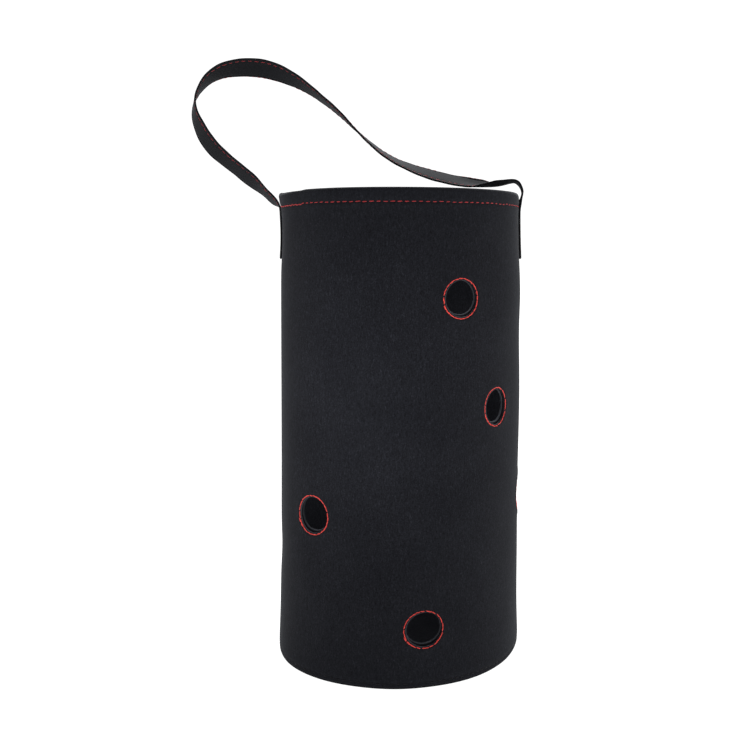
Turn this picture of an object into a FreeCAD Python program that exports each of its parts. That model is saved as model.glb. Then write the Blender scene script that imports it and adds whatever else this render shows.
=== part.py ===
"""Felt grow bag: a round bag with planting holes in its wall and a carrying strap sewn to its rim.

Millimetres. The origin is the centre of the base's underside, +Z is up and the front faces -Y.
The strap's two sewn ends are on the left (-X) and on the right (+X). Azimuths are in degrees,
from the front (-Y) towards the right (+X). Each piece is one STEP file in parts/.
"""
import FreeCAD, Part

import math
import os

from FreeCAD import Vector

# --- driving dimensions -------------------------------------------------------------------------
BAG_HEIGHT = 350.0          # underside of the base to the rim
RIM_RADIUS = 90.0           # outside of the wall at the rim
BASE_RADIUS = 93.5          # outside of the wall at the base

FELT_THICKNESS = 1.8        # wall, base, hem and facings are cut from one felt
LAYER_GAP = 0.25            # between two layers of cloth sewn together
HEM_DEPTH = 12.5            # turned-in top edge of the wall
HEM_STITCH_MARGIN = 2.7     # hem's lower edge to its row of stitches
SEAM_ALLOWANCE = 11.0       # turned-up edge of the base, inside the wall
BASE_STITCH_HEIGHT = 4.5    # underside of the base to its row of stitches

SEAM_AZIMUTH = 140.0        # where the wall's two ends meet
SEAM_OVERLAP = 14.0         # width of the lap there

HOLE_RADIUS = 12.0
HOLE_STITCH_MARGIN = 2.1    # hole's edge to the stitches round it
FACING_WIDTH = 7.0          # hole's edge to the edge of the reinforcing ring behind it
TOP_ROW_DEPTH = 74.4        # rim to the centres of the top row
BOTTOM_ROW_HEIGHT = 43.3    # underside of the base to the centres of the bottom row
HOLE_ROWS = 4
HOLES = [                   # azimuth, row from the top, height off the row's line
    (26.3, 0, 0.2),
    (206.3, 0, 0.0),
    (48.3, 1, -1.0),
    (228.3, 1, 0.0),
    (-44.6, 2, -1.5),
    (89.0, 2, -2.0),
    (9.3, 3, 0.0),
    (189.3, 3, 0.0),
]

STRAP_WIDTH = 20.0
STRAP_THICKNESS = 1.5
STRAP_SEAT_GAP = 0.25       # strap to wall where it is sewn on
STRAP_END_DEPTH = 49.0      # rim to the strap's cut ends
STRAP_SEAT_TOP = 12.0       # rim to where the left end leaves the wall
STRAP_SWING_GAP = 0.3       # between the free loop and each sewn end
STRAP_ROUTE = [             # free run, left to right: share of the rim radius, height over the rim
    (-1.050, -4.5),
    (-1.137, 2.8),
    (-1.374, 19.9),
    (-1.579, 36.5),
    (-1.695, 53.4),
    (-1.724, 67.5),
    (-1.591, 87.4),
    (-1.349, 94.7),
    (-1.009, 90.7),
    (-0.767, 79.3),
    (-0.480, 58.7),
    (-0.226, 37.2),
    (0.004, 24.2),
    (0.277, 16.3),
    (0.590, 10.3),
    (0.839, 10.4),
    (0.926, 11.3),
    (1.002, 7.8),
    (1.020, 2.0),
]
LEFT_ROOT = 0               # the points of the route where the free loop starts and ends
RIGHT_ROOT = 15
STRAP_STATIONS = 160        # places along the free run that the strap's faces pass through

THREAD_WIDTH = 0.8
THREAD_THICKNESS = 0.5
THREAD_GAP = 0.15           # thread to the cloth under it
STRAP_STITCH_INSET = 2.2    # strap's edge to its rows of stitches

# --- what follows from them ---------------------------------------------------------------------
HEM_BOTTOM = BAG_HEIGHT - HEM_DEPTH
HEM_STITCH_HEIGHT = HEM_BOTTOM + HEM_STITCH_MARGIN
FACING_RADIUS = HOLE_RADIUS + FACING_WIDTH
HOLE_STITCH_RADIUS = HOLE_RADIUS + HOLE_STITCH_MARGIN
SECOND_LAYER = -(FELT_THICKNESS + LAYER_GAP)       # outer face of the layer behind the wall
SECOND_LAYER_INSIDE = SECOND_LAYER - FELT_THICKNESS
THREAD_FACE = THREAD_GAP + THREAD_THICKNESS
ROW_PITCH = (BAG_HEIGHT - TOP_ROW_DEPTH - BOTTOM_ROW_HEIGHT) / (HOLE_ROWS - 1)
REACH = 2.0 * max(RIM_RADIUS, BASE_RADIUS)         # longer than any radius of the bag


def wall_radius(z):
    """Radius of the wall's outer face at height z."""
    return BASE_RADIUS + (RIM_RADIUS - BASE_RADIUS) * z / BAG_HEIGHT


def shell(inside, outside, low, high):
    """Ring of cloth between two offsets from the wall's outer face, positive outwards."""
    def cone(offset):
        return Part.makeCone(wall_radius(low) + offset, wall_radius(high) + offset,
                             high - low, Vector(0, 0, low))
    return cone(outside).cut(cone(inside))


def outward(azimuth):
    angle = math.radians(azimuth)
    return Vector(math.sin(angle), -math.cos(angle), 0)


def radial_cylinder(azimuth, z, radius):
    """Cylinder that runs out from the bag's axis, across the wall."""
    return Part.makeCylinder(radius, REACH, Vector(0, 0, z), outward(azimuth))


def radial_ring(azimuth, z, inner, outer):
    return radial_cylinder(azimuth, z, outer).cut(radial_cylinder(azimuth, z, inner))


def radial_slab(azimuth, width, low, high):
    """Flat slab that runs out from the bag's axis, across the wall."""
    slab = Part.makeBox(width, REACH, high - low, Vector(-width / 2, -REACH, low))
    slab.rotate(Vector(0, 0, 0), Vector(0, 0, 1), azimuth)
    return slab


def hole_height(row, off_line):
    return BAG_HEIGHT - TOP_ROW_DEPTH - row * ROW_PITCH + off_line


# --- wall, hem and base -------------------------------------------------------------------------
def make_wall_panel():
    wall = shell(-FELT_THICKNESS, 0, 0, BAG_HEIGHT)
    lap_low = SEAM_ALLOWANCE + LAYER_GAP
    lap_high = HEM_BOTTOM - LAYER_GAP
    lap = shell(-2 * FELT_THICKNESS, -FELT_THICKNESS, lap_low, lap_high)
    wall = wall.fuse(lap.common(radial_slab(SEAM_AZIMUTH, SEAM_OVERLAP, lap_low, lap_high)))
    for azimuth, row, off_line in HOLES:
        wall = wall.cut(radial_cylinder(azimuth, hole_height(row, off_line), HOLE_RADIUS))
    return wall


def make_rim_hem():
    return shell(SECOND_LAYER_INSIDE, SECOND_LAYER, HEM_BOTTOM, BAG_HEIGHT)


def make_base_panel():
    def edge(z):
        return wall_radius(z) + SECOND_LAYER
    return Part.makeCone(edge(0), edge(FELT_THICKNESS), FELT_THICKNESS)


def make_base_seam_allowance():
    return shell(SECOND_LAYER_INSIDE, SECOND_LAYER, FELT_THICKNESS, SEAM_ALLOWANCE)


def stitch_ring(z):
    """Row of stitches round the outside of the wall."""
    return shell(THREAD_GAP, THREAD_FACE, z - THREAD_WIDTH / 2, z + THREAD_WIDTH / 2)


def make_hem_stitching():
    clear = STRAP_WIDTH + 2 * THREAD_WIDTH
    under_straps = Part.makeBox(2 * REACH, clear, THREAD_WIDTH * 2,
                                Vector(-REACH, -clear / 2, HEM_STITCH_HEIGHT - THREAD_WIDTH))
    return stitch_ring(HEM_STITCH_HEIGHT).cut(under_straps)


def make_back_seam_stitching():
    low = BASE_STITCH_HEIGHT + 2 * THREAD_WIDTH
    high = HEM_STITCH_HEIGHT - 2 * THREAD_WIDTH
    row = shell(THREAD_GAP, THREAD_FACE, low, high)
    return row.common(radial_slab(SEAM_AZIMUTH, THREAD_WIDTH, low, high))


# --- planting holes -----------------------------------------------------------------------------
def make_hole_facing(azimuth, z):
    layer = shell(SECOND_LAYER_INSIDE, SECOND_LAYER, z - FACING_RADIUS, z + FACING_RADIUS)
    return layer.common(radial_ring(azimuth, z, HOLE_RADIUS, FACING_RADIUS))


def make_hole_stitching(azimuth, z):
    inner = HOLE_STITCH_RADIUS - THREAD_WIDTH / 2
    outer = HOLE_STITCH_RADIUS + THREAD_WIDTH / 2
    row = shell(THREAD_GAP, THREAD_FACE, z - outer, z + outer)
    return row.common(radial_ring(azimuth, z, inner, outer))


# --- strap --------------------------------------------------------------------------------------
def route_point(index):
    share, rise = STRAP_ROUTE[index]
    return Vector(share * RIM_RADIUS, 0, BAG_HEIGHT + rise)


def seat_point(side, depth):
    """Middle of the strap where it lies on the wall, so far below the rim."""
    z = BAG_HEIGHT - depth
    return Vector(side * (wall_radius(z) + STRAP_SEAT_GAP + STRAP_THICKNESS / 2), 0, z)


def strap_stations():
    """Places along the middle of the strap, each with the strap's direction there.

    It runs up the left of the wall, over, and down the right. It is straight where it is sewn on.
    """
    left_end, left_top = (seat_point(-1, depth) for depth in (STRAP_END_DEPTH, STRAP_SEAT_TOP))
    right_top, right_end = (seat_point(1, depth) for depth in (STRAP_SEAT_TOP / 2, STRAP_END_DEPTH))
    up, down = (left_top - left_end).normalize(), (right_end - right_top).normalize()
    free = [route_point(index) for index in range(len(STRAP_ROUTE))]
    curve = Part.BSplineCurve()
    curve.interpolate(Points=[left_top, *free, right_top],
                      InitialTangent=up, FinalTangent=down, Scale=False)
    first, last = curve.FirstParameter, curve.LastParameter
    stations = [(left_end, up)]
    for step in range(STRAP_STATIONS + 1):
        at = first + (last - first) * step / STRAP_STATIONS
        stations.append((curve.value(at), curve.tangent(at)[0]))
    return [*stations, (right_end, down)]


def along_strap(stations, inner, outer, y_low, y_high):
    """Strip that follows the strap, between two offsets from its middle and two places across it."""
    edges, ends = [], []
    for offset in (inner, outer):
        side = [point + Vector(-along.z, 0, along.x) * offset + Vector(0, y_low, 0)
                for point, along in stations]
        free = Part.BSplineCurve()
        free.interpolate(side[1:-1])
        edges += [Part.makeLine(side[0], side[1]), free.toShape(), Part.makeLine(side[-2], side[-1])]
        ends.append((side[0], side[-1]))
    edges += [Part.makeLine(near, far) for near, far in zip(*ends)]
    outline = Part.Wire(Part.sortEdges(edges)[0])
    return Part.Face(outline).extrude(Vector(0, y_high - y_low, 0))


def root_block(root, margin):
    """Block round one sewn end. At the root its -X face is square to the loop's swing axis."""
    swing = route_point(RIGHT_ROOT) - route_point(LEFT_ROOT)
    length, width, rise = RIM_RADIUS / 2, 2 * STRAP_WIDTH, STRAP_WIDTH / 2
    block = Part.makeBox(length, width, 2 * rise, Vector(-margin, -width / 2, -rise))
    block.rotate(Vector(0, 0, 0), Vector(0, 1, 0), -math.degrees(math.atan2(swing.z, swing.x)))
    drop = STRAP_END_DEPTH + STRAP_WIDTH
    below = Part.makeBox(length + STRAP_WIDTH, width, drop - rise / 2,
                         Vector(-STRAP_WIDTH, -width / 2, -drop))
    block = block.fuse(below)
    block.translate(route_point(root))
    return block


def split_strap(strip):
    """The sewn left end, the free loop and the sewn right end of a strip along the strap."""
    ends = [strip.common(root_block(root, 0)) for root in (LEFT_ROOT, RIGHT_ROOT)]
    loop = strip
    for root in (LEFT_ROOT, RIGHT_ROOT):
        loop = loop.cut(root_block(root, STRAP_SWING_GAP))
    return ends[0], loop, ends[1]


def make_strap_stitching(stations):
    """Two rows along each face of the loop, and a stitched box on each sewn end."""
    row_at = STRAP_WIDTH / 2 - STRAP_STITCH_INSET
    face = STRAP_THICKNESS / 2
    left, loop, right = [], [], []
    for face_side in (-1, 1):
        near, far = sorted(face_side * (face + offset) for offset in (THREAD_GAP, THREAD_FACE))
        for y in (-row_at, row_at):
            row = along_strap(stations, near, far, y - THREAD_WIDTH / 2, y + THREAD_WIDTH / 2)
            left_row, loop_row, right_row = split_strap(row)
            loop.append(loop_row)
            if face_side > 0:
                left.append(left_row)
                right.append(right_row)
    cross = along_strap(stations, face + THREAD_GAP, face + THREAD_FACE, -row_at, row_at)
    for rows, side in ((left, -1), (right, 1)):
        for depth in (STRAP_END_DEPTH - STRAP_STITCH_INSET, STRAP_SEAT_TOP + STRAP_STITCH_INSET):
            level = BAG_HEIGHT - depth
            slab = Part.makeBox(REACH, STRAP_WIDTH, THREAD_WIDTH,
                                Vector(min(side * REACH, 0), -STRAP_WIDTH / 2, level))
            rows.append(cross.common(slab))
    fused = [rows[0].multiFuse(rows[1:]) for rows in (left, right)]
    return fused[0], Part.makeCompound(loop), fused[1]


# --- the whole bag ------------------------------------------------------------------------------
def make_parts():
    parts = {
        "wall_panel": make_wall_panel(),
        "rim_hem": make_rim_hem(),
        "base_panel": make_base_panel(),
        "base_seam_allowance": make_base_seam_allowance(),
        "hem_stitching": make_hem_stitching(),
        "base_seam_stitching": stitch_ring(BASE_STITCH_HEIGHT),
        "back_seam_stitching": make_back_seam_stitching(),
    }
    for number, (azimuth, row, off_line) in enumerate(HOLES, start=1):
        z = hole_height(row, off_line)
        parts[f"hole_facing_{number}"] = make_hole_facing(azimuth, z)
        parts[f"hole_stitching_{number}"] = make_hole_stitching(azimuth, z)
    stations = strap_stations()
    half = STRAP_THICKNESS / 2
    strap = along_strap(stations, -half, half, -STRAP_WIDTH / 2, STRAP_WIDTH / 2)
    sections = ("left_end", "loop", "right_end")
    for section, piece in zip(sections, split_strap(strap)):
        parts[f"strap_{section}"] = piece
    for section, piece in zip(sections, make_strap_stitching(stations)):
        parts[f"strap_{section}_stitching"] = piece
    return parts


os.makedirs("parts", exist_ok=True)
for node, shape in make_parts().items():
    shape.exportStep(f"parts/{node}.step")
    print(f"{node}: {len(shape.Solids)} solids, {shape.Volume:.1f} mm3, valid {shape.isValid()}")
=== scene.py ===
"""Looks of the felt grow bag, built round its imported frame.

Metres. +Z is up and the front faces -Y. Azimuths run from the front towards the right (+X).
The bag is one wall sheet with planting holes and a folded hem, a base with a turned-up edge, a
facing ring behind each hole, a twisted strap, and every stitch on its own.
"""
import math

import bpy
import numpy as np
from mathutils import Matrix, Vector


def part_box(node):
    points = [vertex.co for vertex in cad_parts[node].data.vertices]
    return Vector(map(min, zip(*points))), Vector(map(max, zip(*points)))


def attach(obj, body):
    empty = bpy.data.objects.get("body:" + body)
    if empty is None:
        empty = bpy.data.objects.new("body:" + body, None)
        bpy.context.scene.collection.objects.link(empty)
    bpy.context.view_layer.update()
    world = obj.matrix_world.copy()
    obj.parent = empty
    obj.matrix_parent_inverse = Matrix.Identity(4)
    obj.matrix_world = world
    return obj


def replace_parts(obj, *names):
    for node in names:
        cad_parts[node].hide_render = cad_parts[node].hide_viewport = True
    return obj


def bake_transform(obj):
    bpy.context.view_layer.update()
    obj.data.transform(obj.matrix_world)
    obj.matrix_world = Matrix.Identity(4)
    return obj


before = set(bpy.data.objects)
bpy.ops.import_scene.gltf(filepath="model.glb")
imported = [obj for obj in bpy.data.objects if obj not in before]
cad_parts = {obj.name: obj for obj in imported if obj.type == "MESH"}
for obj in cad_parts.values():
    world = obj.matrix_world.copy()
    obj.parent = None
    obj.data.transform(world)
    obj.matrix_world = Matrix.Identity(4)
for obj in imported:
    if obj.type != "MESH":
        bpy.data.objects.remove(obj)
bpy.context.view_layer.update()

MM = 0.001
DEG = math.pi / 180
TURN = 2 * math.pi

# --- sizes, from the frame ----------------------------------------------------------------------
wall_low, wall_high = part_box("wall_panel")
hem_low, hem_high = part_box("rim_hem")
HEIGHT = wall_high.z
BASE_RADIUS = (wall_high.y - wall_low.y) / 2
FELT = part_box("base_panel")[1].z
LAYER = FELT + 0.25 * MM                        # one layer of cloth and the gap to the next
HEM_BOTTOM = hem_low.z
TAPER = (BASE_RADIUS - (hem_high.y - hem_low.y) / 2 - LAYER) / HEM_BOTTOM
ALLOWANCE_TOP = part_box("base_seam_allowance")[1].z
HEM_ROW = sum(corner.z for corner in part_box("hem_stitching")) / 2
HEM_COUNT = 118                                 # stitches round the hem
BASE_ROW = sum(corner.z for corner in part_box("base_seam_stitching")) / 2
seam_low, seam_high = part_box("back_seam_stitching")
SEAM_AZIMUTH = math.atan2(seam_low.x + seam_high.x, -(seam_low.y + seam_high.y))
LAP = 14 * MM
THREAD_WIDTH = 0.8 * MM
STRAP_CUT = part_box("strap_left_end")[0].z + 1.4 * MM
STRAP_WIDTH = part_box("strap_left_end")[1].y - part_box("strap_left_end")[0].y
STRAP_THICKNESS = 1.5 * MM
STRAP_SEAT_GAP = 0.25 * MM
HOLE_PULL = {                # how the cloth pulls a hole: its width, its height, moved across and up
    1: (0.968, 0.982, 0.4 * MM, -0.3 * MM),
    3: (0.935, 0.985, 0.8 * MM, -0.2 * MM),
    5: (0.97, 1.0, 4.95 * MM, 1.25 * MM),
    6: (1.0, 1.0, -4.8 * MM, 3.6 * MM),
    7: (1.0, 0.957, 0.1 * MM, 0.1 * MM),
}
UNPULLED = (1.0, 1.0, 0.0, 0.0)
OPENING_EDGE = 1.0 * MM                         # the cut edge of an opening, inside its stitches
OPENING_SHIFT = 0.45 * MM                       # of the openings, inside their stitches
FACING_WIDTH = 7 * MM
FACING_CUT = 2.1 * MM                           # the cut edge of a flat facing, inside the stitches
FACING_EDGE = 0.9 * MM                          # the same edge as it shows, drawn back under the wall
FACING_SHOWS = 1.7 * MM                         # of the lower edge, over the opening's own
FACING_SLACK = {5: 0.75 * MM}                   # how far the left edge is drawn back under the wall


def hole(number):
    """Azimuth and height of a planting hole, radius of its stitches, and how wide and tall it is pulled."""
    low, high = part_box(f"hole_stitching_{number}")
    row = (high.z - low.z - THREAD_WIDTH) / 2
    middle = (low + high) / 2
    wide, tall, across, up = HOLE_PULL.get(number, UNPULLED)
    azimuth = math.atan2(middle.x, -middle.y) + across / BASE_RADIUS
    return azimuth, middle.z + up, row, wide, tall


HOLES = {number: hole(number) for number in range(1, 9)}


# --- small helpers ------------------------------------------------------------------------------
def smooth(value):
    value = np.clip(value, 0, 1)
    return value * value * (3 - 2 * value)


def bell(distance, width):
    return np.exp(-((distance / width) ** 2))


def unit(vectors):
    return vectors / np.maximum(np.linalg.norm(vectors, axis=-1, keepdims=True), 1e-12)


def radius(z):
    return BASE_RADIUS - TAPER * z


def wrapped(angle):
    return (angle + math.pi) % TURN - math.pi


# --- how the standing cloth differs from a true cone --------------------------------------------
FOOT_SPREAD = 2.0 * MM
FOOT_OVAL = 4.5 * MM
FOOT_OVAL_AZIMUTH = -36 * DEG
FOOT_OVAL_FADE = 614 * MM
RIM_RISE = 0.9 * MM
RIM_STEP = 0.6 * MM          # dip of the rim at the front left
LEFT_RISE = 0.8 * MM         # more at the left, where the strap pulls
FRONT_LEFT_RISE = 0.45 * MM
RIM_FLARE = 2.0 * MM         # of the left of the rim, where the strap pulls it out
WAVES = [                    # lobes round the bag, half waves up it, phase, size
    (3, 1.3, 0.4, 0.42 * MM),
    (5, 2.1, 2.1, 0.26 * MM),
    (8, 1.1, 4.0, 0.16 * MM),
    (11, 2.7, 1.2, 0.08 * MM),
]
BUMPS = [                    # azimuth in degrees and its width, height and its width, size
    (90, 35, 278 * MM, 24 * MM, 1.5 * MM),
    (90, 40, 208 * MM, 52 * MM, 1.25 * MM),
    (90, 30, 0, 26 * MM, 1.1 * MM),
    (-90, 16, 322 * MM, 18 * MM, -1.3 * MM),
    (-90, 30, 82 * MM, 16 * MM, -0.85 * MM),
    (-90, 35, 0, 25 * MM, 0.5 * MM),
    (-16, 14, 0, 30 * MM, -1.0 * MM),
    (38, 28, 0, 30 * MM, 1.85 * MM),
    (64, 14, 0, 18 * MM, 0.3 * MM),
    (-58, 16, 0, 25 * MM, 1.5 * MM),
    (-88, 25, 110 * MM, 115 * MM, -0.45 * MM),
    (-90, 16, 308 * MM, 13 * MM, -0.45 * MM),
    (90, 30, 300 * MM, 25 * MM, 0.33 * MM),
    (90, 30, 125 * MM, 30 * MM, -0.35 * MM),
]


def settle(points, share=1.0, flare=True):
    """Moves points of the true cone to where the cloth stands, all the way or by a share."""
    x, y, z = np.moveaxis(np.asarray(points, float), -1, 0)
    azimuth = np.arctan2(x, -y)
    height = np.clip(z, 0, HEIGHT)
    grow = FOOT_SPREAD * (1 - height / HEIGHT)
    grow += FOOT_OVAL * (1 - height / FOOT_OVAL_FADE) ** 2 * np.cos(2 * (azimuth - FOOT_OVAL_AZIMUTH))
    for lobes, halves, phase, size in WAVES:
        grow += size * np.cos(lobes * azimuth + phase) * np.sin(halves * math.pi * height / HEIGHT + phase)
    for centre, spread, level, tall, size in BUMPS:
        grow += size * bell(wrapped(azimuth - centre * DEG), spread * DEG) * bell(height - level, tall)
    if flare:
        grow += RIM_FLARE * bell(wrapped(azimuth + 90 * DEG), 24 * DEG) * bell(height - HEIGHT, 9 * MM)
    grow *= share * np.hypot(x, y) / radius(height) / radius(height)
    step = smooth((azimuth + 80 * DEG) / (6 * DEG)) * smooth((-50 * DEG - azimuth) / (3 * DEG))
    left = bell(wrapped(azimuth + 93 * DEG), 16 * DEG)
    front_left = bell(wrapped(azimuth + 52 * DEG), 40 * DEG)
    rise = RIM_RISE - RIM_STEP * step + LEFT_RISE * left + FRONT_LEFT_RISE * front_left
    rise = rise * smooth((z - 300 * MM) / (45 * MM)) * share
    return np.stack([x * (1 + grow), y * (1 + grow), z + rise], -1)


def place(azimuth, z, depth):
    """Point of the standing bag at a depth behind the outer face of the wall."""
    out = radius(z) - depth
    return settle(np.stack([out * np.sin(azimuth), -out * np.cos(azimuth), z + 0 * azimuth], -1))


def relief(azimuth, z):
    """How far the wall's face stands proud, from stitches that pull in and layers that fill out."""
    height = bell(z - BASE_ROW, 1.1 * MM) * -0.5 * MM
    under_strap = smooth((13 * MM - np.abs(np.cos(azimuth)) * radius(z)) / (3 * MM))
    hem = 0.35 * MM * smooth((z - HEM_BOTTOM + 1.5 * MM) / (2.5 * MM))
    hem = hem - 0.62 * MM * bell(z - HEM_ROW, 1.0 * MM)
    pucker = 0.07 * MM * np.sin(azimuth * HEM_COUNT + 2 * np.sin(3 * azimuth)) * bell(z - HEM_ROW, 3 * MM)
    height = height + (hem + pucker) * (1 - under_strap)
    for centre, level, row, wide, tall in HOLES.values():
        across, up = wrapped(azimuth - centre) * radius(level) / wide, (z - level) / tall
        away, angle = np.hypot(across, up), np.arctan2(up, across)
        near = away < 3 * row
        ring = 0.4 * MM * (1 - smooth((away - row - 1.5 * MM) / (6 * MM)))
        ring = ring - 0.5 * MM * bell(away - row, 0.7 * MM)
        ring = ring + 0.10 * MM * np.cos(19 * angle + centre) * bell(away - row - 2.2 * MM, 1.8 * MM)
        height = height + ring * near
    return height


def hole_lips(azimuth, z):
    """1 at the cut edge of a planting hole, and 0 away from it."""
    lips = 0 * z
    for centre, level, row, wide, tall in HOLES.values():
        away = np.hypot(wrapped(azimuth - centre) * radius(level) / wide, (z - level) / tall)
        lips = lips + bell(np.maximum(away - (row - OPENING_EDGE), 0), 0.45 * MM)
    return lips


def round_hole(number, away, turn):
    """Azimuth and height of a point beside a hole: how far from its middle, and which way."""
    azimuth, level, row, wide, tall = HOLES[number]
    return azimuth + away * wide * np.cos(turn) / radius(level), level + away * tall * np.sin(turn)


# --- mesh building ------------------------------------------------------------------------------
EDGE_BULGE = 0.35            # of a cut edge, as a share of the cloth's thickness


def normals_of(points, faces):
    normals = np.zeros_like(points)
    corners = points[faces]
    flat = np.cross(corners[:, 2] - corners[:, 0], corners[:, 3] - corners[:, 1])
    for corner in range(4):
        np.add.at(normals, faces[:, corner], flat)
    return unit(normals)


def cut_edges(faces):
    """Edges with a face on one side only, in the direction of that face."""
    edges = {(int(a), int(b)) for face in faces for a, b in zip(face, np.roll(face, -1))}
    return [(a, b) for a, b in edges if (b, a) not in edges]


def loop_faces(rows, size, turned=False):
    """Quads between rows of points that each close into a loop. Turned, they look the other way."""
    index = np.arange(rows * size).reshape(rows, size)
    ahead = np.roll(index, -1, 1)
    corners = [index[:-1], index[1:], ahead[1:], ahead[:-1]]
    if turned:
        corners = [corners[k] for k in (0, 3, 2, 1)]
    return np.stack(corners, -1).reshape(-1, 4)


def thicken(points, faces, front, back):
    """Closed shell round a sheet: how far its two faces are from the middle, and its cut edges."""
    faces = np.asarray(faces)
    normals = normals_of(points, faces)
    count = len(points)
    rim = sorted(cut_edges(faces))
    along = np.zeros_like(points)
    for a, b in rim:
        along[a] += unit(points[b] - points[a])
        along[b] += unit(points[b] - points[a])
    on_rim = sorted({vertex for edge in rim for vertex in edge})
    middle = {vertex: 2 * count + place_in for place_in, vertex in enumerate(on_rim)}
    outward = np.cross(unit(along[on_rim]), normals[on_rim])
    shift = (front - back)[on_rim, None] / 2 * normals[on_rim]
    edge_points = points[on_rim] + shift + outward * ((front + back)[on_rim, None] * EDGE_BULGE)
    shell = np.concatenate([points + normals * front[:, None], points - normals * back[:, None], edge_points])
    closed = [tuple(face) for face in faces.tolist()]
    closed += [tuple(reversed([vertex + count for vertex in face])) for face in closed[:]]
    for a, b in rim:
        closed.append((b, a, middle[a], middle[b]))
        closed.append((middle[b], middle[a], a + count, b + count))
    return shell, closed


def build(name, points, faces, material, levels=1, body="root", coordinates=None, painted_light_and_shade=None):
    """A piece on its body. Painted light and shade is 1 where a point gets a painted highlight at a fuzzy cut
    edge, and -1 where it gets painted shade along the foot.
    """
    mesh = bpy.data.meshes.new(name)
    mesh.from_pydata(np.asarray(points).tolist(), [], faces)
    mesh.validate()
    mesh.polygons.foreach_set("use_smooth", [True] * len(mesh.polygons))
    if coordinates is not None:
        layer = mesh.uv_layers.new(name="thread")
        corner = np.zeros(len(mesh.loops), np.int32)
        mesh.loops.foreach_get("vertex_index", corner)
        layer.data.foreach_set("uv", np.asarray(coordinates, np.float32)[corner].ravel())
    if painted_light_and_shade is not None:
        share = mesh.attributes.new("painted_light_and_shade", "FLOAT", "POINT")
        share.data.foreach_set("value", np.asarray(painted_light_and_shade, np.float32))
    mesh.materials.append(material)
    piece = bpy.data.objects.new(name, mesh)
    bpy.context.scene.collection.objects.link(piece)
    if levels:
        rounding = piece.modifiers.new("rounding", "SUBSURF")
        rounding.levels = rounding.render_levels = levels
    if body:
        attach(piece, body)
    return piece


def freeze(piece):
    """Turns a piece's modifiers into its mesh."""
    graph = bpy.context.evaluated_depsgraph_get()
    mesh = bpy.data.meshes.new_from_object(piece.evaluated_get(graph))
    piece.modifiers.clear()
    piece.data = mesh


# --- materials ----------------------------------------------------------------------------------
class Nodes:
    """A Principled material and short ways to add nodes to it."""

    def __init__(self, name, **sockets):
        self.material = bpy.data.materials.new(name)
        self.material.use_nodes = True
        self.tree = self.material.node_tree
        self.shader = self.tree.nodes["Principled BSDF"]
        for socket, value in sockets.items():
            self.shader.inputs[socket.replace("_", " ")].default_value = value

    def add(self, kind, inputs=None, **settings):
        node = self.tree.nodes.new(kind)
        for key, value in settings.items():
            setattr(node, key, value)
        for key, value in (inputs or {}).items():
            if isinstance(value, bpy.types.NodeSocket):
                self.tree.links.new(value, node.inputs[key])
            else:
                node.inputs[key].default_value = value
        return node

    def link(self, output, socket):
        self.tree.links.new(output, self.shader.inputs[socket])

    def noise(self, where, scale, detail=2.0, roughness=0.5, distortion=0.0):
        inputs = {"Vector": where, "Scale": scale, "Detail": detail, "Roughness": roughness,
                  "Distortion": distortion}
        return self.add("ShaderNodeTexNoise", inputs).outputs["Fac"]

    def ramp(self, value, *stops):
        node = self.add("ShaderNodeValToRGB", {"Fac": value})
        elements = node.color_ramp.elements
        while len(elements) < len(stops):
            elements.new(0.5)
        for element, (position, colour) in zip(elements, stops):
            element.position = position
            element.color = (*colour, 1)
        return node.outputs["Color"]

    def math(self, operation, *values):
        node = self.tree.nodes.new("ShaderNodeMath")
        node.operation = operation
        for index, value in enumerate(values):
            if isinstance(value, bpy.types.NodeSocket):
                self.tree.links.new(value, node.inputs[index])
            else:
                node.inputs[index].default_value = value
        return node.outputs[0]

    def stretched(self, where, turn, scale):
        return self.add("ShaderNodeMapping", {"Vector": where, "Rotation": turn, "Scale": scale}).outputs[0]

    def mixed(self, how, colour, other):
        """Two colours multiplied or added. The sockets are the colour ones of a mix node."""
        node = self.add("ShaderNodeMix", {"Factor": 1.0}, data_type="RGBA", blend_type=how)
        self.tree.links.new(colour, node.inputs[6])
        self.tree.links.new(other, node.inputs[7])
        return node.outputs[2]

    def bump(self, height, strength, distance, before=None):
        inputs = {"Height": height, "Strength": strength, "Distance": distance}
        if before is not None:
            inputs["Normal"] = before
        return self.add("ShaderNodeBump", inputs).outputs[0]


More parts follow.
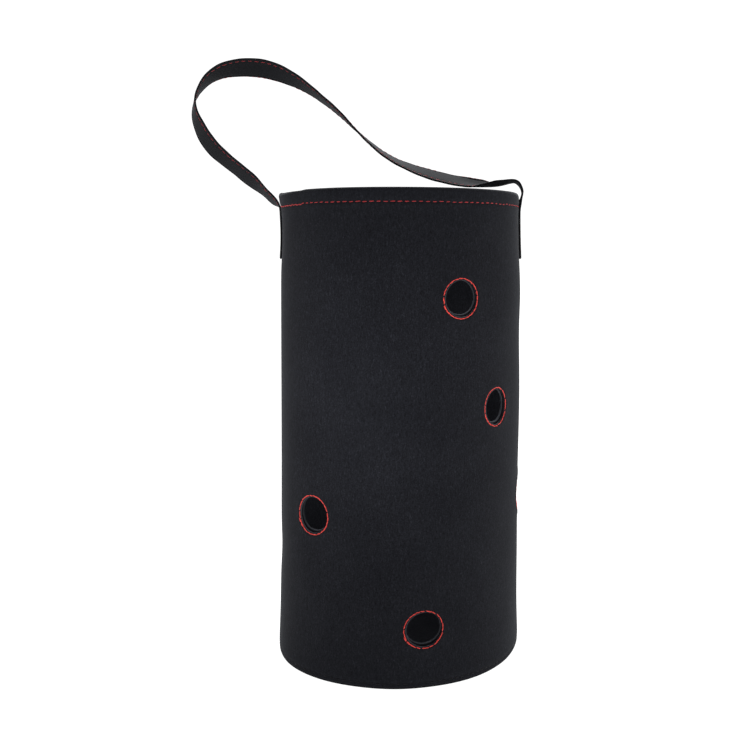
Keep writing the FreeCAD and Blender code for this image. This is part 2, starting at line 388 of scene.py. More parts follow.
def cloth(name, dark, light, grain, relief_height, sheen):
    """Needled cloth: felted fibres that cross each other, with specks that catch the light, a painted
    highlight at cut edges and painted shade along the foot.
    """
    nodes = Nodes(name, Roughness=0.93, Specular_IOR_Level=0.10, Sheen_Weight=sheen, Sheen_Roughness=0.32,
                  Sheen_Tint=(0.84, 0.90, 1.0, 1))
    where = nodes.add("ShaderNodeTexCoord").outputs["Object"]
    specks = nodes.noise(where, grain, 3.0, 0.65, 0.4)
    leaning_left = nodes.stretched(where, (0.0, 0.75, 0.0), (1.0, 1.0, 0.32))
    leaning_right = nodes.stretched(where, (0.35, -0.85, 0.2), (1.0, 1.0, 0.3))
    one_way = nodes.noise(leaning_left, grain * 0.8, 2.0, 0.6, 0.6)
    other_way = nodes.noise(leaning_right, grain * 1.1, 2.0, 0.6, 0.6)
    fibres = nodes.math("MULTIPLY", nodes.math("ADD", one_way, other_way), 0.5)
    mat = nodes.math("ADD", nodes.math("MULTIPLY", specks, 0.5), nodes.math("MULTIPLY", fibres, 0.5))
    patches = nodes.noise(where, 26.0, 3.0, 0.55)
    colour = nodes.ramp(mat, (0.36, dark), (0.56, light), (0.68, tuple(2.2 * share for share in light)))
    worn = nodes.ramp(patches, (0.3, (0.86, 0.86, 0.87)), (0.72, (1.12, 1.12, 1.11)))
    painted_light_and_shade = nodes.add("ShaderNodeAttribute", attribute_name="painted_light_and_shade").outputs["Fac"]
    # painted shade: the colour darkened to a quarter along the foot, where the bag meets the floor
    painted_foot_shade = nodes.math("MULTIPLY", painted_light_and_shade, -1.0)
    painted_foot_shade_tint = nodes.ramp(painted_foot_shade, (0.0, (1.0, 1.0, 1.0)), (1.0, (0.25, 0.25, 0.25)))
    # painted highlight: lighter colour at fuzzy cut edges, where the cut fibres catch the light
    fuzz = nodes.math("MULTIPLY", painted_light_and_shade, nodes.math("ADD", mat, 0.45))
    lit = nodes.ramp(fuzz, (0.45, (0.0, 0.0, 0.0)), (1.0, (0.030, 0.032, 0.036)))
    dull = nodes.mixed("MULTIPLY", nodes.mixed("MULTIPLY", colour, worn), painted_foot_shade_tint)
    nodes.link(nodes.mixed("ADD", dull, lit), "Base Color")
    clumps = nodes.noise(where, grain * 0.22, 2.0, 0.6)
    coarse = nodes.bump(clumps, 0.35, relief_height * 2.0)
    nodes.link(nodes.bump(mat, 0.75, relief_height, coarse), "Normal")
    return nodes.material


def thread(name, dark, light, sheen):
    """Two plies twisted together, along the thread's own coordinates."""
    nodes = Nodes(name, Roughness=0.6, Specular_IOR_Level=0.2, Sheen_Weight=sheen, Sheen_Roughness=0.3)
    where = nodes.add("ShaderNodeUVMap", uv_map="thread").outputs[0]
    slanted = nodes.stretched(where, (0, 0, 0.5), (1.0, 1.0, 1.0))
    bands = {"Vector": slanted, "Scale": 1.6, "Distortion": 0.5, "Detail": 1.0}
    twist = nodes.add("ShaderNodeTexWave", bands, wave_type="BANDS").outputs["Fac"]
    fuzz = nodes.noise(nodes.add("ShaderNodeTexCoord").outputs["Object"], 2600.0, 2.0)
    mixed = nodes.math("ADD", nodes.math("MULTIPLY", twist, 0.6), nodes.math("MULTIPLY", fuzz, 0.4))
    nodes.link(nodes.ramp(mixed, (0.2, dark), (0.75, light)), "Base Color")
    nodes.link(nodes.bump(mixed, 0.6, 0.12 * MM), "Normal")
    return nodes.material


FELT_CLOTH = cloth("felt", dark=(0.0048, 0.0050, 0.0066), light=(0.0130, 0.0138, 0.0178),
                   grain=1150.0, relief_height=0.16 * MM, sheen=0.045)
STRAP_CLOTH = cloth("strap_cloth", dark=(0.0045, 0.0047, 0.0055), light=(0.0105, 0.0110, 0.0130),
                    grain=1900.0, relief_height=0.08 * MM, sheen=0.10)
RED = thread("red_thread", (0.22, 0.010, 0.014), (0.74, 0.060, 0.062), 0.1)
RING_RED = thread("ring_thread", (0.62, 0.028, 0.022), (1.0, 0.105, 0.080), 0.1)
STRAP_RED = thread("strap_thread", (0.12, 0.008, 0.012), (0.50, 0.045, 0.055), 0.05)
BLACK = thread("black_thread", (0.003, 0.003, 0.0035), (0.010, 0.010, 0.012), 0.0)

# --- the wall, with its holes and its folded hem ------------------------------------------------
FOOT_SHADE_HEIGHT = 2.8 * MM                         # height of the painted shade along the foot that the bag stands on
START = SEAM_AZIMUTH - LAP / 2 / BASE_RADIUS
END = SEAM_AZIMUTH + LAP / 2 / BASE_RADIUS + TURN
COLUMNS = 150
FOLD = LAYER / 2                                # radius of the hem's fold, at the middle of the felt
FOLD_START = HEIGHT - FELT / 2 - FOLD
BLOCK = 14                                      # columns and rows that a hole's rings take up
HOLE_RINGS = [-0.95, -0.7, -0.35, 0.0, 0.35, 0.7, 1.1, 1.6, 2.4, 3.5, 5.0, 6.6]     # mm from the stitches
BACK_FOLLOWS = 0.6                              # share of the front's relief that the back face follows


def sheet_depth(along, z, turn):
    """Depth of the middle of the felt. The turn is 0 outside, pi on the hem's inner leg."""
    first = 1 - smooth(((along - START) * BASE_RADIUS - LAP) / (8 * MM))
    last = 1 - smooth(((END - along) * BASE_RADIUS - LAP) / (8 * MM))
    rolled = np.clip((BASE_ROW - z) / BASE_ROW, 0, 1)
    tuck = 2.4 * MM * (1 - np.sqrt(1 - rolled ** 2))
    outside = FELT / 2 + LAYER * first + tuck
    inside = FELT / 2 + LAYER * (1 + first + 2 * last)
    half = (inside - outside) / 2
    drop = LAYER * first * smooth((z - 325 * MM) / (20 * MM))
    crease = FOLD * np.abs(np.sin(turn)) ** 0.6
    return (inside + outside) / 2 - half * np.cos(turn), z + crease - drop


def wall_rows():
    """Height and turn of each row of the sheet, from the bottom edge up, over and down inside."""
    foot = [0.9, 1.5, 2.6, 3.5, 4.1, 4.6, 5.2, 6.2, 8.0]
    top = [-3.0, -1.2, -0.2, 0.6, 1.5, 2.1, 2.6, 3.1, 3.7, 4.8, 6.5, 8.3]
    plain = np.linspace(10.8 * MM, HEM_BOTTOM - 6.2 * MM, 82)
    outside = [*(level * MM for level in foot), *plain, *(HEM_BOTTOM + level * MM for level in top)]
    leg = [9.6, 8.0, 6.0, 4.4, 3.4, 2.8, 2.2, 1.4, 0.8, 0.3]
    rows = [(z, 0.0) for z in outside] + [(FOLD_START - 0.6 * MM, 0.0)]
    rows += [(FOLD_START, share * math.pi) for share in (0.02, 0.2, 0.4, 0.6, 0.8, 0.98)]
    return rows + [(HEM_BOTTOM + level * MM, math.pi) for level in leg]


def hole_edge_share(edge_points, points, lip):
    """1 for the edge points that lie near a hole's lip, and 0 for the others."""
    on_lip = points[lip > 0.9]
    return np.array([float(np.min(np.linalg.norm(on_lip - point, axis=1)) < 2 * MM) for point in edge_points])


def make_wall():
    heights, turns = (np.array(values) for values in zip(*wall_rows()))
    pitch = (END - START) / COLUMNS
    along = np.sort([*np.linspace(START, END, COLUMNS + 1), START + 0.15 * pitch, END - 0.15 * pitch])
    grid = np.arange(len(along) * len(heights)).reshape(len(along), len(heights))
    s = np.repeat(along, len(heights))
    z = np.tile(heights, len(along))
    turn = np.tile(turns, len(along))
    open_cells = np.ones((len(along) - 1, len(heights) - 1), bool)
    extra_s, extra_z, faces, used = [], [], [], len(s)
    plain_rows = np.flatnonzero(turns == 0)
    for azimuth, level, row, wide, tall in HOLES.values():
        azimuth = START + (azimuth - START) % TURN
        column = int(np.abs(along[:, None] - azimuth).argmin()) - BLOCK // 2
        bottom = int(np.abs(heights[plain_rows] - level).argmin()) - BLOCK // 2
        open_cells[column:column + BLOCK, bottom:bottom + BLOCK] = False
        square = [(column + step, bottom) for step in range(BLOCK)]
        square += [(column + BLOCK, bottom + step) for step in range(BLOCK)]
        square += [(column + BLOCK - step, bottom + BLOCK) for step in range(BLOCK)]
        square += [(column, bottom + BLOCK - step) for step in range(BLOCK)]
        outer = np.array([grid[cell] for cell in square])
        dx, dz = (s[outer] - azimuth) * radius(level), z[outer] - level
        angle, reach = np.arctan2(dz, dx), np.hypot(dx, dz)
        rings = [row + step * MM for step in HOLE_RINGS]
        inward = [max(row - ring, 0) / (row - rings[0]) for ring in rings]
        loops = [(ring * wide * np.cos(angle) + OPENING_SHIFT * share, ring * tall * np.sin(angle))
                 for ring, share in zip(rings, inward)]
        half_way = (rings[-1] + reach) / 2
        loops.append((half_way * np.cos(angle), half_way * np.sin(angle)))
        before = None
        for ring_x, ring_z in loops:
            extra_s.append(azimuth + ring_x / radius(level))
            extra_z.append(level + ring_z)
            now = used + np.arange(len(outer))
            used += len(outer)
            if before is not None:
                faces.append(np.stack([before, now, np.roll(now, -1), np.roll(before, -1)], 1))
            before = now
        faces.append(np.stack([before, outer, np.roll(outer, -1), np.roll(before, -1)], 1))
    cells = np.stack([grid[:-1, :-1], grid[1:, :-1], grid[1:, 1:], grid[:-1, 1:]], -1)[open_cells]
    faces = np.concatenate([cells, *faces])
    s = np.concatenate([s, *extra_s])
    z = np.concatenate([z, *extra_z])
    turn = np.concatenate([turn, np.zeros(used - len(turn))])
    kept, faces = np.unique(faces, return_inverse=True)
    faces = faces.reshape(-1, 4)
    s, z, turn = s[kept], z[kept], turn[kept]
    depth, level = sheet_depth(s, z, turn)
    points = place(s, level, depth)
    on_fold = np.sin(turn) > 0.05
    lip = hole_lips(s, z) * (turn == 0)
    front = FELT / 2 + relief(s, z) * ~on_fold - 0.3 * MM * lip
    single = (turn == 0) * (z < HEM_BOTTOM - 3 * MM)
    back = FELT / 2 - BACK_FOLLOWS * relief(s, z) * single - 0.45 * MM * lip
    shell, closed = thicken(points, faces, front, back)
    # painted shade along the foot of the wall, where the bag meets the floor
    painted_foot_shade = smooth((FOOT_SHADE_HEIGHT - z) / (1.6 * MM)) * (turn == 0)
    # painted highlight at the hole lips and on their cut edges, with painted shade along the foot
    painted_light_and_shade = np.concatenate([lip - painted_foot_shade, 0 * lip, hole_edge_share(shell[2 * len(points):], points, lip)])
    wall = build("bag_wall", shell, closed, FELT_CLOTH, painted_light_and_shade=painted_light_and_shade)
    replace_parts(wall, "wall_panel", "rim_hem")
    return wall


# --- the base, with its edge turned up inside the wall ------------------------------------------
BASE_CROWN = 1.2 * MM                           # rise of the base's middle


def make_base():
    segments = 144
    corner = 2.6 * MM
    edge = radius(0) - LAYER - FELT / 2
    flat = np.array([2, 10, 22, 36, 50, 62, 72, 80, 86]) / 90 * (edge - corner)
    profile = [(value, FELT / 2) for value in flat]
    bend = edge - corner
    profile += [(bend + corner * math.sin(turn * DEG), FELT / 2 + corner * (1 - math.cos(turn * DEG)))
                for turn in (0, 22, 45, 68, 90)]
    profile += [(edge, level * MM) for level in (4.6, 5.6, 7.5, 9.5)]
    profile += [(edge, ALLOWANCE_TOP - 0.5 * MM), (edge, ALLOWANCE_TOP)]
    angle = np.arange(segments) / segments * TURN
    rows = []
    for out, z in profile:
        gone = smooth((z - BASE_ROW) / (6 * MM))
        pleats = gone * (0.35 * MM * np.sin(34 * angle) + 0.2 * MM * np.sin(21 * angle + 1))
        ragged = smooth((z - 9 * MM) / (2 * MM)) * 0.35 * MM * np.sin(17 * angle + 2 * np.sin(5 * angle))
        ripple = 0.25 * MM * np.sin(7 * angle + out * 90)
        ripple = ripple * smooth((edge - out) / (20 * MM)) * smooth(out / (25 * MM))
        crown = BASE_CROWN * smooth(1 - out / edge) + ripple
        inside = TAPER * z if z > corner else 0.0
        away = out - inside - np.abs(pleats)
        points = np.stack([away * np.sin(angle), -away * np.cos(angle), z + crown + ragged + 0 * angle], -1)
        rows.append(settle(points))
    points = np.concatenate([*rows, settle(np.array([[0.0, 0.0, FELT / 2 + BASE_CROWN]]))])
    faces = loop_faces(len(profile), segments, turned=True)     # they look down and out
    middle = len(points) - 1
    innermost = np.arange(segments)
    pairs = innermost.reshape(-1, 2)
    after = np.roll(innermost, -2).reshape(-1, 2)[:, 0]
    fan = np.stack([pairs[:, 0], np.full(len(pairs), middle), after, pairs[:, 1]], -1)[:, ::-1]
    faces = np.concatenate([faces, fan])
    thickness = np.full(len(points), FELT / 2)
    shell, closed = thicken(points, faces, thickness, thickness)
    base = build("base", shell, closed, FELT_CLOTH)
    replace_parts(base, "base_panel", "base_seam_allowance")
    return base


# --- facings ------------------------------------------------------------------------------------
def make_facing(number):
    row = HOLES[number][2]
    segments = 56
    angle = np.arange(segments) / segments * TURN
    outer = row - FACING_CUT + FACING_WIDTH
    inner = row - FACING_EDGE
    rings = [inner, inner + 0.2 * MM, inner + 0.5 * MM, row, row + 0.8 * MM, row + 2 * MM]
    rings += [outer - 1.4 * MM, outer - 0.4 * MM, outer]
    points, front, painted_light_and_shade = [], [], []
    slack = FACING_SLACK.get(number, 0.0)
    # the facing's lower edge shows above the opening's, and its sides are drawn back
    sides = 0.2 * MM * np.maximum(np.cos(angle), 0) + slack * np.maximum(-np.cos(angle), 0)
    shown = FACING_SHOWS * np.maximum(-np.sin(angle), 0) ** 1.4 - sides
    for ring in rings:
        low = shown * (row - ring) / (row - inner) * (ring < row)
        wobble = 0.35 * MM * np.sin(5 * angle + number) + 0.2 * MM * np.sin(11 * angle + 2 * number)
        away = ring - low + wobble * smooth((ring - row) / (outer - row))
        curl = 0.5 * MM * smooth((ring - row - 1 * MM) / (outer - row))
        points.append(place(*round_hole(number, away, angle), LAYER + FELT / 2 + curl))
        front.append(np.full(segments, FELT / 2 - 0.35 * MM * bell(ring - row, 0.4 * MM)))
        # painted highlight on the facing's inner cut edge
        painted_light_and_shade.append(np.full(segments, 1.0 if ring == inner else 0.0))
    front = np.concatenate(front)
    shell, closed = thicken(np.concatenate(points), loop_faces(len(rings), segments), front, front)
    painted_light_and_shade = np.concatenate(painted_light_and_shade)
    # painted highlight on the cut edge faces of the inner ring
    painted_light_and_shade = np.concatenate([painted_light_and_shade, 0 * painted_light_and_shade, np.where(np.arange(2 * segments) < segments, 1.0, 0.0)])
    facing = build(f"facing_{number}", shell, closed, FELT_CLOTH, painted_light_and_shade=painted_light_and_shade)
    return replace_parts(facing, f"hole_facing_{number}")


# --- stitches -----------------------------------------------------------------------------------
STITCH_SIDES = 8
HEM_THREAD = 0.60 * MM
RING_THREAD = 0.72 * MM
BASE_THREAD = 0.60 * MM
STRAP_THREAD = 0.55 * MM
INSIDE = 2 * FELT + 0.2 * MM                    # depth of the stitches that show inside a hole


def stitches(name, places, material, body="root", width=THREAD_WIDTH):
    """One mesh of stitches: each has its middle, its direction, the way out of the cloth and its length."""
    middles, runs, outs, lengths = (np.array(values, float) for values in zip(*places))
    runs = unit(runs)
    outs = unit(outs - (outs * runs).sum(-1, keepdims=True) * runs)
    sides = np.cross(outs, runs)
    shares = np.array([-0.94, -0.74, -0.42, 0.0, 0.42, 0.74, 0.94])
    local, across = [], []
    for share in shares:
        full = width * math.sqrt(1 - abs(share) ** 2.8)
        for turn in np.arange(STITCH_SIDES) / STITCH_SIDES * TURN:
            dip = 0.22 * MM * share ** 4
            local.append((share, 0.5 * full * math.cos(turn), 0.38 * full * math.sin(turn) - dip))
            across.append(turn / TURN)
    local += [(-1.0, 0.0, -0.24 * MM), (1.0, 0.0, -0.24 * MM)]
    across += [0.0, 0.0]
    local = np.array(local)
    points = (middles[:, None] + runs[:, None] * (local[:, 0] * lengths[:, None] / 2)[..., None]
              + sides[:, None] * local[:, 1, None] + outs[:, None] * local[:, 2, None])
    one = loop_faces(len(shares), STITCH_SIDES, turned=True).tolist()
    size = len(local)
    start_tip, end_tip, last = size - 2, size - 1, size - 2 - STITCH_SIDES
    for k in range(STITCH_SIDES):
        ahead = (k + 1) % STITCH_SIDES
        one += [(start_tip, ahead, k), (end_tip, last + k, last + ahead)]
    starts = range(0, size * len(middles), size)
    faces = [tuple(start + vertex for vertex in face) for start in starts for face in one]
    along = local[:, 0] * lengths[:, None] / 2 / MM + np.arange(len(middles))[:, None] * 7.3
    coordinates = np.stack([along, np.tile(across, (len(middles), 1)) * 3.0], -1)
    return build(name, points.reshape(-1, 3), faces, material, 0, body, coordinates.reshape(-1, 2))


def wall_stitch(azimuth, z, run_azimuth, run_z, length, depth=None):
    """A stitch on the wall, or with a depth on the inside of it. It runs along the given direction."""
    inside = depth is not None
    depth = depth if inside else float(-relief(np.array(azimuth), np.array(z))) - 0.12 * MM
    step = 0.2 * MM
    here = place(np.array(azimuth), np.array(z), depth)
    ahead = place(np.array(azimuth + run_azimuth * step / BASE_RADIUS), np.array(z + run_z * step), depth)
    out = here * (1, 1, 0) * (-1 if inside else 1)
    return here, ahead - here, out, length


def draws(seed, count):
    """Small differences between stitches, the same ones each time."""
    return np.random.default_rng(seed).normal(0, 1, (count, 3)).clip(-2, 2)


def make_hem_stitches():
    places = []
    for index, (one, two, three) in enumerate(draws(11, HEM_COUNT)):
        azimuth = -math.pi + (index + 0.5) / HEM_COUNT * TURN
        if abs(math.cos(azimuth)) * radius(HEM_ROW) < STRAP_WIDTH / 2 + 2.2 * MM:      # under the strap
            continue
        z = HEM_ROW + 0.12 * MM * one
        length = (3.3 + 0.25 * two) * MM
        places.append(wall_stitch(azimuth, z, 1.0, 0.045 + 0.03 * three, length))
        places.append(wall_stitch(azimuth + 0.02, z, 1.0, -0.05, length, INSIDE + 0.15 * MM))
        if -86 * DEG < azimuth < -52 * DEG:     # the row's end runs over its start
            places.append(wall_stitch(azimuth + 2.4 * MM / BASE_RADIUS, z - 0.35 * MM, 1.0, 0.04, length))
    made = stitches("hem_stitches", places, RED, width=HEM_THREAD)
    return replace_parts(made, "hem_stitching")


def make_hole_stitches(number):
    row = HOLES[number][2]
    count = 29
    places = []
    for index, (one, two, three) in enumerate(draws(100 + number, count)):
        turn = (index + 0.13 * two + number * 0.37) / count * TURN
        away = row + 0.07 * MM * one
        lean = turn - 0.09 + 0.04 * three
        run = (-math.sin(lean), math.cos(lean))
        places.append(wall_stitch(*round_hole(number, away, turn), *run, (3.45 + 0.12 * three) * MM))
        places.append(wall_stitch(*round_hole(number, away + 0.5 * MM, turn), *run, 2.6 * MM, INSIDE))
    # the row's end runs a few stitches over its start
    for index in range(3):
        turn = (205 + index * 15) * DEG
        away = row + 0.6 * MM - 0.25 * MM * index
        run = (-math.sin(turn + 0.1), math.cos(turn + 0.1))
        places.append(wall_stitch(*round_hole(number, away, turn), *run, 3.4 * MM))
    made = stitches(f"hole_stitches_{number}", places, RING_RED, width=RING_THREAD)
    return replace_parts(made, f"hole_stitching_{number}")


def make_base_stitches():
    places = []
    count = 124
    for index, (one, two, three) in enumerate(draws(12, count)):
        azimuth = (index + 0.5) / count * TURN
        length = (3.5 + 0.2 * two) * MM
        places.append(wall_stitch(azimuth, BASE_ROW + 0.1 * MM * one, 1.0, 0.03 * three, length))
    made = stitches("base_stitches", places, BLACK, width=BASE_THREAD)
    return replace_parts(made, "base_seam_stitching")


def make_seam_stitches():
    places = []
    low, high = seam_low.z + 2 * MM, seam_high.z - 2 * MM
    count = 72
    for index, (one, two, three) in enumerate(draws(13, count)):
        z = low + (high - low) * index / (count - 1)
        azimuth = SEAM_AZIMUTH + 0.1 * MM * one / BASE_RADIUS
        places.append(wall_stitch(azimuth, z, 0.04 * three, 1.0, (3.5 + 0.2 * two) * MM))
    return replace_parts(stitches("back_seam_stitches", places, BLACK), "back_seam_stitching")


# --- strap --------------------------------------------------------------------------------------
STRAP_ROUTE = [          # share of the rim's radius, height over it in mm, roll in degrees, cup in mm
    (-1.050, -5.6, -12.5, 0), (-1.137, 2.4, -16, 0), (-1.234, 10.2, -26.5, 0),
    (-1.374, 20.4, -29, 0), (-1.579, 36.5, -35, 0),
    (-1.695, 53.4, -29, 0), (-1.724, 67.5, -15, 0), (-1.591, 87.4, 9, 0), (-1.349, 94.7, 28, 0),
    (-1.009, 90.7, 28, 0), (-0.767, 79.3, 12, 0), (-0.480, 58.7, 1, 0), (-0.226, 37.2, -10, 0),
    (0.004, 24.2, -17, 0), (0.277, 15.6, -25.5, 0), (0.495, 10.7, -25, 0.5), (0.597, 8.7, -23, 1.9),
    (0.667, 7.5, -16, 3.1), (0.715, 7.3, -11, 3.5), (0.790, 7.4, 0, 3.3), (0.868, 8.5, 0, 2.8),
    (0.946, 10.3, 0, 1.3), (0.985, 10.2, -2, 0.4), (1.012, 8.0, -5, 0), (1.030, 5.0, -7, 0),
    (1.035, 2.3, -8, 0), (1.026, -1.4, -7, 0),
]
RIM_RADIUS = radius(HEIGHT)
LEFT_SEAT_TOP = 12 * MM
RIGHT_SEAT_TOP = 5 * MM
STRAP_STEP = 2.2 * MM
NEAR_ROW = 2.5 * MM                             # strap's near edge to its row of stitches
FAR_ROW = 0.7 * MM
FAR_ROW_START = 0.45                            # share of the strap where it comes round to the outer face
SUNK_ROW_START = 0.72                           # from here on the stitches are sunk into the under side
SEWN_LENGTH = 46 * MM                           # of the strap's ends, where both rows are well in
ROW_MOVES = 40 * MM                             # length in which the far row moves out to the edge
STITCH_PITCH = 4.6 * MM
FIRST_STITCH = 4.4 * MM                         # from the cut end
STRAP_STITCH = 3.5 * MM
BOX_BAR = 2.2 * MM                              # from the ends of a stitched box to its cross rows


def seat_point(side, z):
    return (side * (radius(z) + STRAP_SEAT_GAP + STRAP_THICKNESS / 2), z, 0.0, 0.0)


def slopes(knots, values, first, last):
    """Slopes at the knots of the smooth curve through the values, with given end slopes."""
    count, gap = len(knots), np.diff(knots)
    chord = np.diff(values, axis=0) / gap[:, None]
    matrix, right = np.eye(count), np.zeros_like(values)
    right[0], right[-1] = first, last
    for k in range(1, count - 1):
        matrix[k, k - 1:k + 2] = gap[k], 2 * (gap[k - 1] + gap[k]), gap[k - 1]
        right[k] = 3 * (gap[k] * chord[k - 1] + gap[k - 1] * chord[k])
    return np.linalg.solve(matrix, right)


def strap_line():
    """x, z, roll and cup of the strap's middle at even steps, from the left cut end to the right one."""
    left_end, left_top = seat_point(-1, STRAP_CUT), seat_point(-1, HEIGHT - LEFT_SEAT_TOP)
    right_top, right_end = seat_point(1, HEIGHT - RIGHT_SEAT_TOP), seat_point(1, STRAP_CUT)
    free = [(share * RIM_RADIUS, HEIGHT + rise * MM, roll * DEG, cup * MM)
            for share, rise, roll, cup in STRAP_ROUTE]
    values = np.array([left_top, *free, right_top])
    knots = np.concatenate([[0], np.cumsum(np.linalg.norm(np.diff(values[:, :2], axis=0), axis=1))])
    up = unit(np.subtract(left_top, left_end))
    down = unit(np.subtract(right_end, right_top))
    slope = slopes(knots, values, up, down)
    at = np.linspace(0, knots[-1], 1600)
    k = np.clip(np.searchsorted(knots, at, "right") - 1, 0, len(knots) - 2)
    gap = (knots[k + 1] - knots[k])[:, None]
    t = ((at - knots[k]) / gap[:, 0])[:, None]
    curve = ((2 * t ** 3 - 3 * t ** 2 + 1) * values[k] + (t ** 3 - 2 * t ** 2 + t) * gap * slope[k]
             + (3 * t ** 2 - 2 * t ** 3) * values[k + 1] + (t ** 3 - t ** 2) * gap * slope[k + 1])
    curve = np.concatenate([[left_end], curve, [right_end]])
    travelled = np.concatenate([[0], np.cumsum(np.linalg.norm(np.diff(curve[:, :2], axis=0), axis=1))])
    steps = int(travelled[-1] / STRAP_STEP)
    even = np.linspace(0, travelled[-1], steps + 1)
    return even, np.stack([np.interp(even, travelled, curve[:, axis]) for axis in range(4)], -1)


STRAP_AT, STRAP_MIDDLE = strap_line()


def strap_place(at, across, out):
    """Point on the strap: how far along it, across it towards the front, and out of its outer face."""
    at, across, out = np.broadcast_arrays(at, across, out)
    x, z, roll, cup = (np.interp(at, STRAP_AT, STRAP_MIDDLE[:, axis]) for axis in range(4))
    ahead = [np.interp(at + STRAP_STEP, STRAP_AT, STRAP_MIDDLE[:, axis]) for axis in (0, 1)]
    behind = [np.interp(at - STRAP_STEP, STRAP_AT, STRAP_MIDDLE[:, axis]) for axis in (0, 1)]
    run_x, run_z = ahead[0] - behind[0], ahead[1] - behind[1]
    length = np.hypot(run_x, run_z)
    normal = np.stack([-run_z / length, 0 * z, run_x / length], -1)
    front = np.zeros_like(normal)
    front[..., 1] = -1.0
    cosine, sine = np.cos(roll)[..., None], np.sin(roll)[..., None]
    width_way = cosine * front + sine * normal
    face_way = cosine * normal - sine * front
    seated = 1 - smooth((z - HEIGHT + 14 * MM) / (12 * MM))
    wrap = (RIM_RADIUS - np.sqrt(RIM_RADIUS ** 2 - across ** 2)) * seated
    wrap = wrap - cup * (2 * across / STRAP_WIDTH) ** 2
    middle = np.stack([x, 0 * z, z], -1)
    points = middle + width_way * across[..., None] + face_way * (out - wrap)[..., None]
    return settle(points, seated, False)


def strap_row(at, near):
    """How far across the strap a row of stitches is."""
    left = 1 - smooth((at - SEWN_LENGTH) / ROW_MOVES)
    right = smooth((at - STRAP_AT[-1] + SEWN_LENGTH + ROW_MOVES) / ROW_MOVES)
    sewn = left + right
    inset = NEAR_ROW if near else FAR_ROW + (NEAR_ROW - FAR_ROW) * sewn
    return (STRAP_WIDTH / 2 - inset) * (1 if near else -1)


def make_strap():
    half, thick = STRAP_WIDTH / 2, STRAP_THICKNESS / 2
    across = np.array([9.75, 9.3, 8.5, 7.9, 7.5, 7.1, 6.4, 4.5, 2.2]) / 10 * half
    across = np.array([*-across, 0.0, *across[::-1]])
    groove = 0.25 * MM * bell(np.abs(across) - (half - NEAR_ROW), 0.6 * MM)
    pillow = 0.10 * MM * np.cos(across / half * math.pi / 2)
    height = thick - groove + pillow - 0.18 * MM * bell(np.abs(across) - half, 0.45 * MM)
    loop_across = np.concatenate([across, [half], across[::-1], [-half]])
    loop_out = np.concatenate([height, [0.0], -height[::-1], [0.0]])
    at = STRAP_AT[:, None]
    waver = 0.12 * MM * np.sin(at * 190) + 0.08 * MM * np.sin(at * 430 + 1)
    free = smooth((at - 50 * MM) / (30 * MM)) * smooth((STRAP_AT[-1] - 60 * MM - at) / (30 * MM))
    uneven = 1 + 0.012 * np.sin(at * 120)
    points = strap_place(at, loop_across[None] * uneven, loop_out[None] + waver * free)
    stations, size = points.shape[:2]
    points = points.reshape(-1, 3)
    index = np.arange(stations * size).reshape(stations, size)
    faces = loop_faces(stations, size, turned=True).tolist()
    count = len(across)
    for station, turned in ((0, False), (stations - 1, True)):
        ring = index[station]
        upper, lower = ring[:count], ring[count + 1:2 * count + 1][::-1]
        cap = [(upper[k], lower[k], lower[k + 1], upper[k + 1]) for k in range(count - 1)]
        cap += [(upper[-1], lower[-1], ring[count])] + [(lower[0], upper[0], ring[-1])]
        faces += [tuple(int(v) for v in (reversed(face) if turned else face)) for face in cap]
    strap = build("strap", points, faces, STRAP_CLOTH, 1, None)
    freeze(strap)
    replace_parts(strap, "strap_left_end", "strap_loop", "strap_right_end")
    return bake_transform(strap)


def strap_stitch(at, across, run_at, run_across, face):
    """A stitch on the outer face, 1, or the under one, -1. It runs along the given direction."""
    out = (STRAP_THICKNESS / 2 - 0.12 * MM) * face
    here = strap_place(at, across, out)
    ahead = strap_place(at + run_at * 0.5 * MM, across + run_across * 0.5 * MM, out)
    above = strap_place(at, across, out + face * MM)
    return here, ahead - here, above - here, STRAP_STITCH


def make_strap_stitches():
    rows, left, right = [], [], []
    end = STRAP_AT[-1]
    sewn_left = HEIGHT - LEFT_SEAT_TOP - STRAP_CUT
    sewn_right = HEIGHT - RIGHT_SEAT_TOP - STRAP_CUT
    count = int((end - FIRST_STITCH) / STITCH_PITCH)
    rolls = draws(14, count)
    for face in (1, -1):
        for near in (True, False):
            for index in range(count):
                at = FIRST_STITCH + index * STITCH_PITCH + 1.1 * MM * (not near)
                if face < 0 and (at < sewn_left + 6 * MM or at > SUNK_ROW_START * end):
                    continue
                if face > 0 and not near and sewn_left < at < FAR_ROW_START * end:
                    continue
                across = strap_row(at, near) + 0.06 * MM * rolls[index][0]
                slant = (strap_row(at + MM, near) - strap_row(at, near)) / MM + 0.02 * rolls[index][1]
                group = left if at < sewn_left else right if at > end - sewn_right else rows
                group.append(strap_stitch(at, across, 1.0, slant, face))
    # the cross rows that close each stitched box
    for from_end in (BOX_BAR, sewn_left - BOX_BAR):
        for index in range(4):
            across = (index - 1.5) * 4.1 * MM
            left.append(strap_stitch(from_end, across, 0.0, 1.0, 1))
            right.append(strap_stitch(end - from_end, across, 0.0, 1.0, 1))
    loop = stitches("strap_stitches", rows, STRAP_RED, None, STRAP_THREAD)
    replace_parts(loop, "strap_loop_stitching")
    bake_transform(loop)
    ends = []
    for name, group in (("left", left), ("right", right)):
        made = stitches(f"strap_{name}_end_stitches", group, STRAP_RED, width=STRAP_THREAD)
        ends.append(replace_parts(made, f"strap_{name}_end_stitching"))
    return [loop, *ends]


# --- everything together ------------------------------------------------------------------------
wall = make_wall()
base = make_base()
facings = [make_facing(number) for number in HOLES]
hem_stitches = make_hem_stitches()
base_stitches = make_base_stitches()
seam_stitches = make_seam_stitches()
hole_stitches = [make_hole_stitches(number) for number in HOLES]
strap = make_strap()
strap_threads = make_strap_stitches()

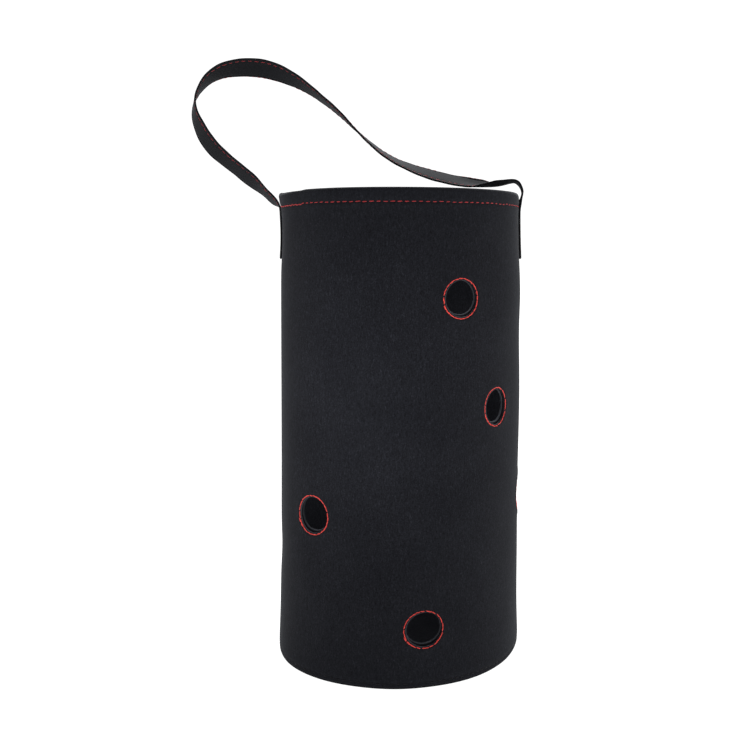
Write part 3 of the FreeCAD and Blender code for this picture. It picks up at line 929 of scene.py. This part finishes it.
# --- stage --------------------------------------------------------------------------------------
FLOOR_REACH = 14.0
SUN_ANGLE = 16 * DEG
SPOT_ANGLE = 15 * DEG
SENSOR_WIDTH = 36.0          # mm, as the lens is
LENS = 46.68
CAMERA_PLACE = (-0.0191, -0.7515, 0.3046)
CAMERA_TILT = 83.03 * DEG    # from straight down
ABOUT_MIDDLE = (0, 0, 0.2)


def lamp(name, kind, energy, location, target, **settings):
    data = bpy.data.lights.new(name, kind)
    data.energy = energy
    for key, value in settings.items():
        setattr(data, key, value)
    light = bpy.data.objects.new(name, data)
    bpy.context.scene.collection.objects.link(light)
    light.location = location
    x, y, z = np.subtract(target, location)
    light.rotation_euler = (math.atan2(math.hypot(x, y), -z), 0, math.atan2(y, x) - math.pi / 2)
    return light


floor_mesh = bpy.data.meshes.new("floor")
floor_corners = [(x * FLOOR_REACH, y * FLOOR_REACH, 0) for x, y in ((-1, -1), (1, -1), (1, 1), (-1, 1))]
floor_mesh.from_pydata(floor_corners, [], [(0, 1, 2, 3)])
floor = bpy.data.objects.new("floor", floor_mesh)
floor.location.z = -0.4 * MM
bpy.context.scene.collection.objects.link(floor)
paper = Nodes("paper", Roughness=0.9, Specular_IOR_Level=0.1, Emission_Color=(1.0, 1.0, 1.0, 1),
              Emission_Strength=1.08)
paper_grain = paper.noise(paper.add("ShaderNodeTexCoord").outputs["Object"], 40.0, 3.0)
paper.link(paper.ramp(paper_grain, (0.3, (0.09, 0.09, 0.09)), (0.7, (0.11, 0.11, 0.11))), "Base Color")
floor_mesh.materials.append(paper.material)

world = bpy.data.worlds.new("studio")
bpy.context.scene.world = world
world.use_nodes = True
sky = world.node_tree
direction = sky.nodes.new("ShaderNodeTexCoord").outputs["Generated"]
parts = sky.nodes.new("ShaderNodeSeparateXYZ")
sky.links.new(direction, parts.inputs[0])
brightness = sky.nodes.new("ShaderNodeMapRange")
brightness.interpolation_type = "SMOOTHSTEP"
for socket, value in (("From Min", -0.1), ("From Max", 0.85), ("To Min", 0.40), ("To Max", 1.12)):
    brightness.inputs[socket].default_value = value
sky.links.new(parts.outputs["Y"], brightness.inputs["Value"])
background = sky.nodes["Background"]
background.inputs["Color"].default_value = (1.0, 1.0, 1.0, 1)
sky.links.new(brightness.outputs[0], background.inputs["Strength"])

lamp("overhead", "SUN", 6.5, (0, 1.95, 3), (0, 0, 0), angle=SUN_ANGLE)
for name, level in (("inside_top", 0.25), ("inside_foot", 0.11)):
    lamp(name, "POINT", 0.12, (0, 0, level), (0, 0.001, 0), shadow_soft_size=0.03).visible_camera = False
lamp("right_softbox", "AREA", 4.4, (1.15, 0.25, 0.45), ABOUT_MIDDLE, shape="RECTANGLE", size=0.6, size_y=1.0)
lamp("left_softbox", "AREA", 1.1, (-1.1, 0.35, 0.4), ABOUT_MIDDLE, shape="RECTANGLE", size=0.5, size_y=0.9)
lamp("front_spot", "SPOT", 22.0, (-0.32, -0.95, 0.32), (-0.038, -0.08, 0.205), spot_size=SPOT_ANGLE,
     spot_blend=1.0, shadow_soft_size=0.08)

camera_data = bpy.data.cameras.new("camera")
camera_data.sensor_width = SENSOR_WIDTH
camera_data.lens = LENS
camera = bpy.data.objects.new("camera", camera_data)
camera.location = CAMERA_PLACE
camera.rotation_euler = (CAMERA_TILT, 0, 0)
bpy.context.scene.collection.objects.link(camera)
bpy.context.scene.camera = camera
bpy.context.scene.view_settings.view_transform = "Standard"

bpy.context.view_layer.update()
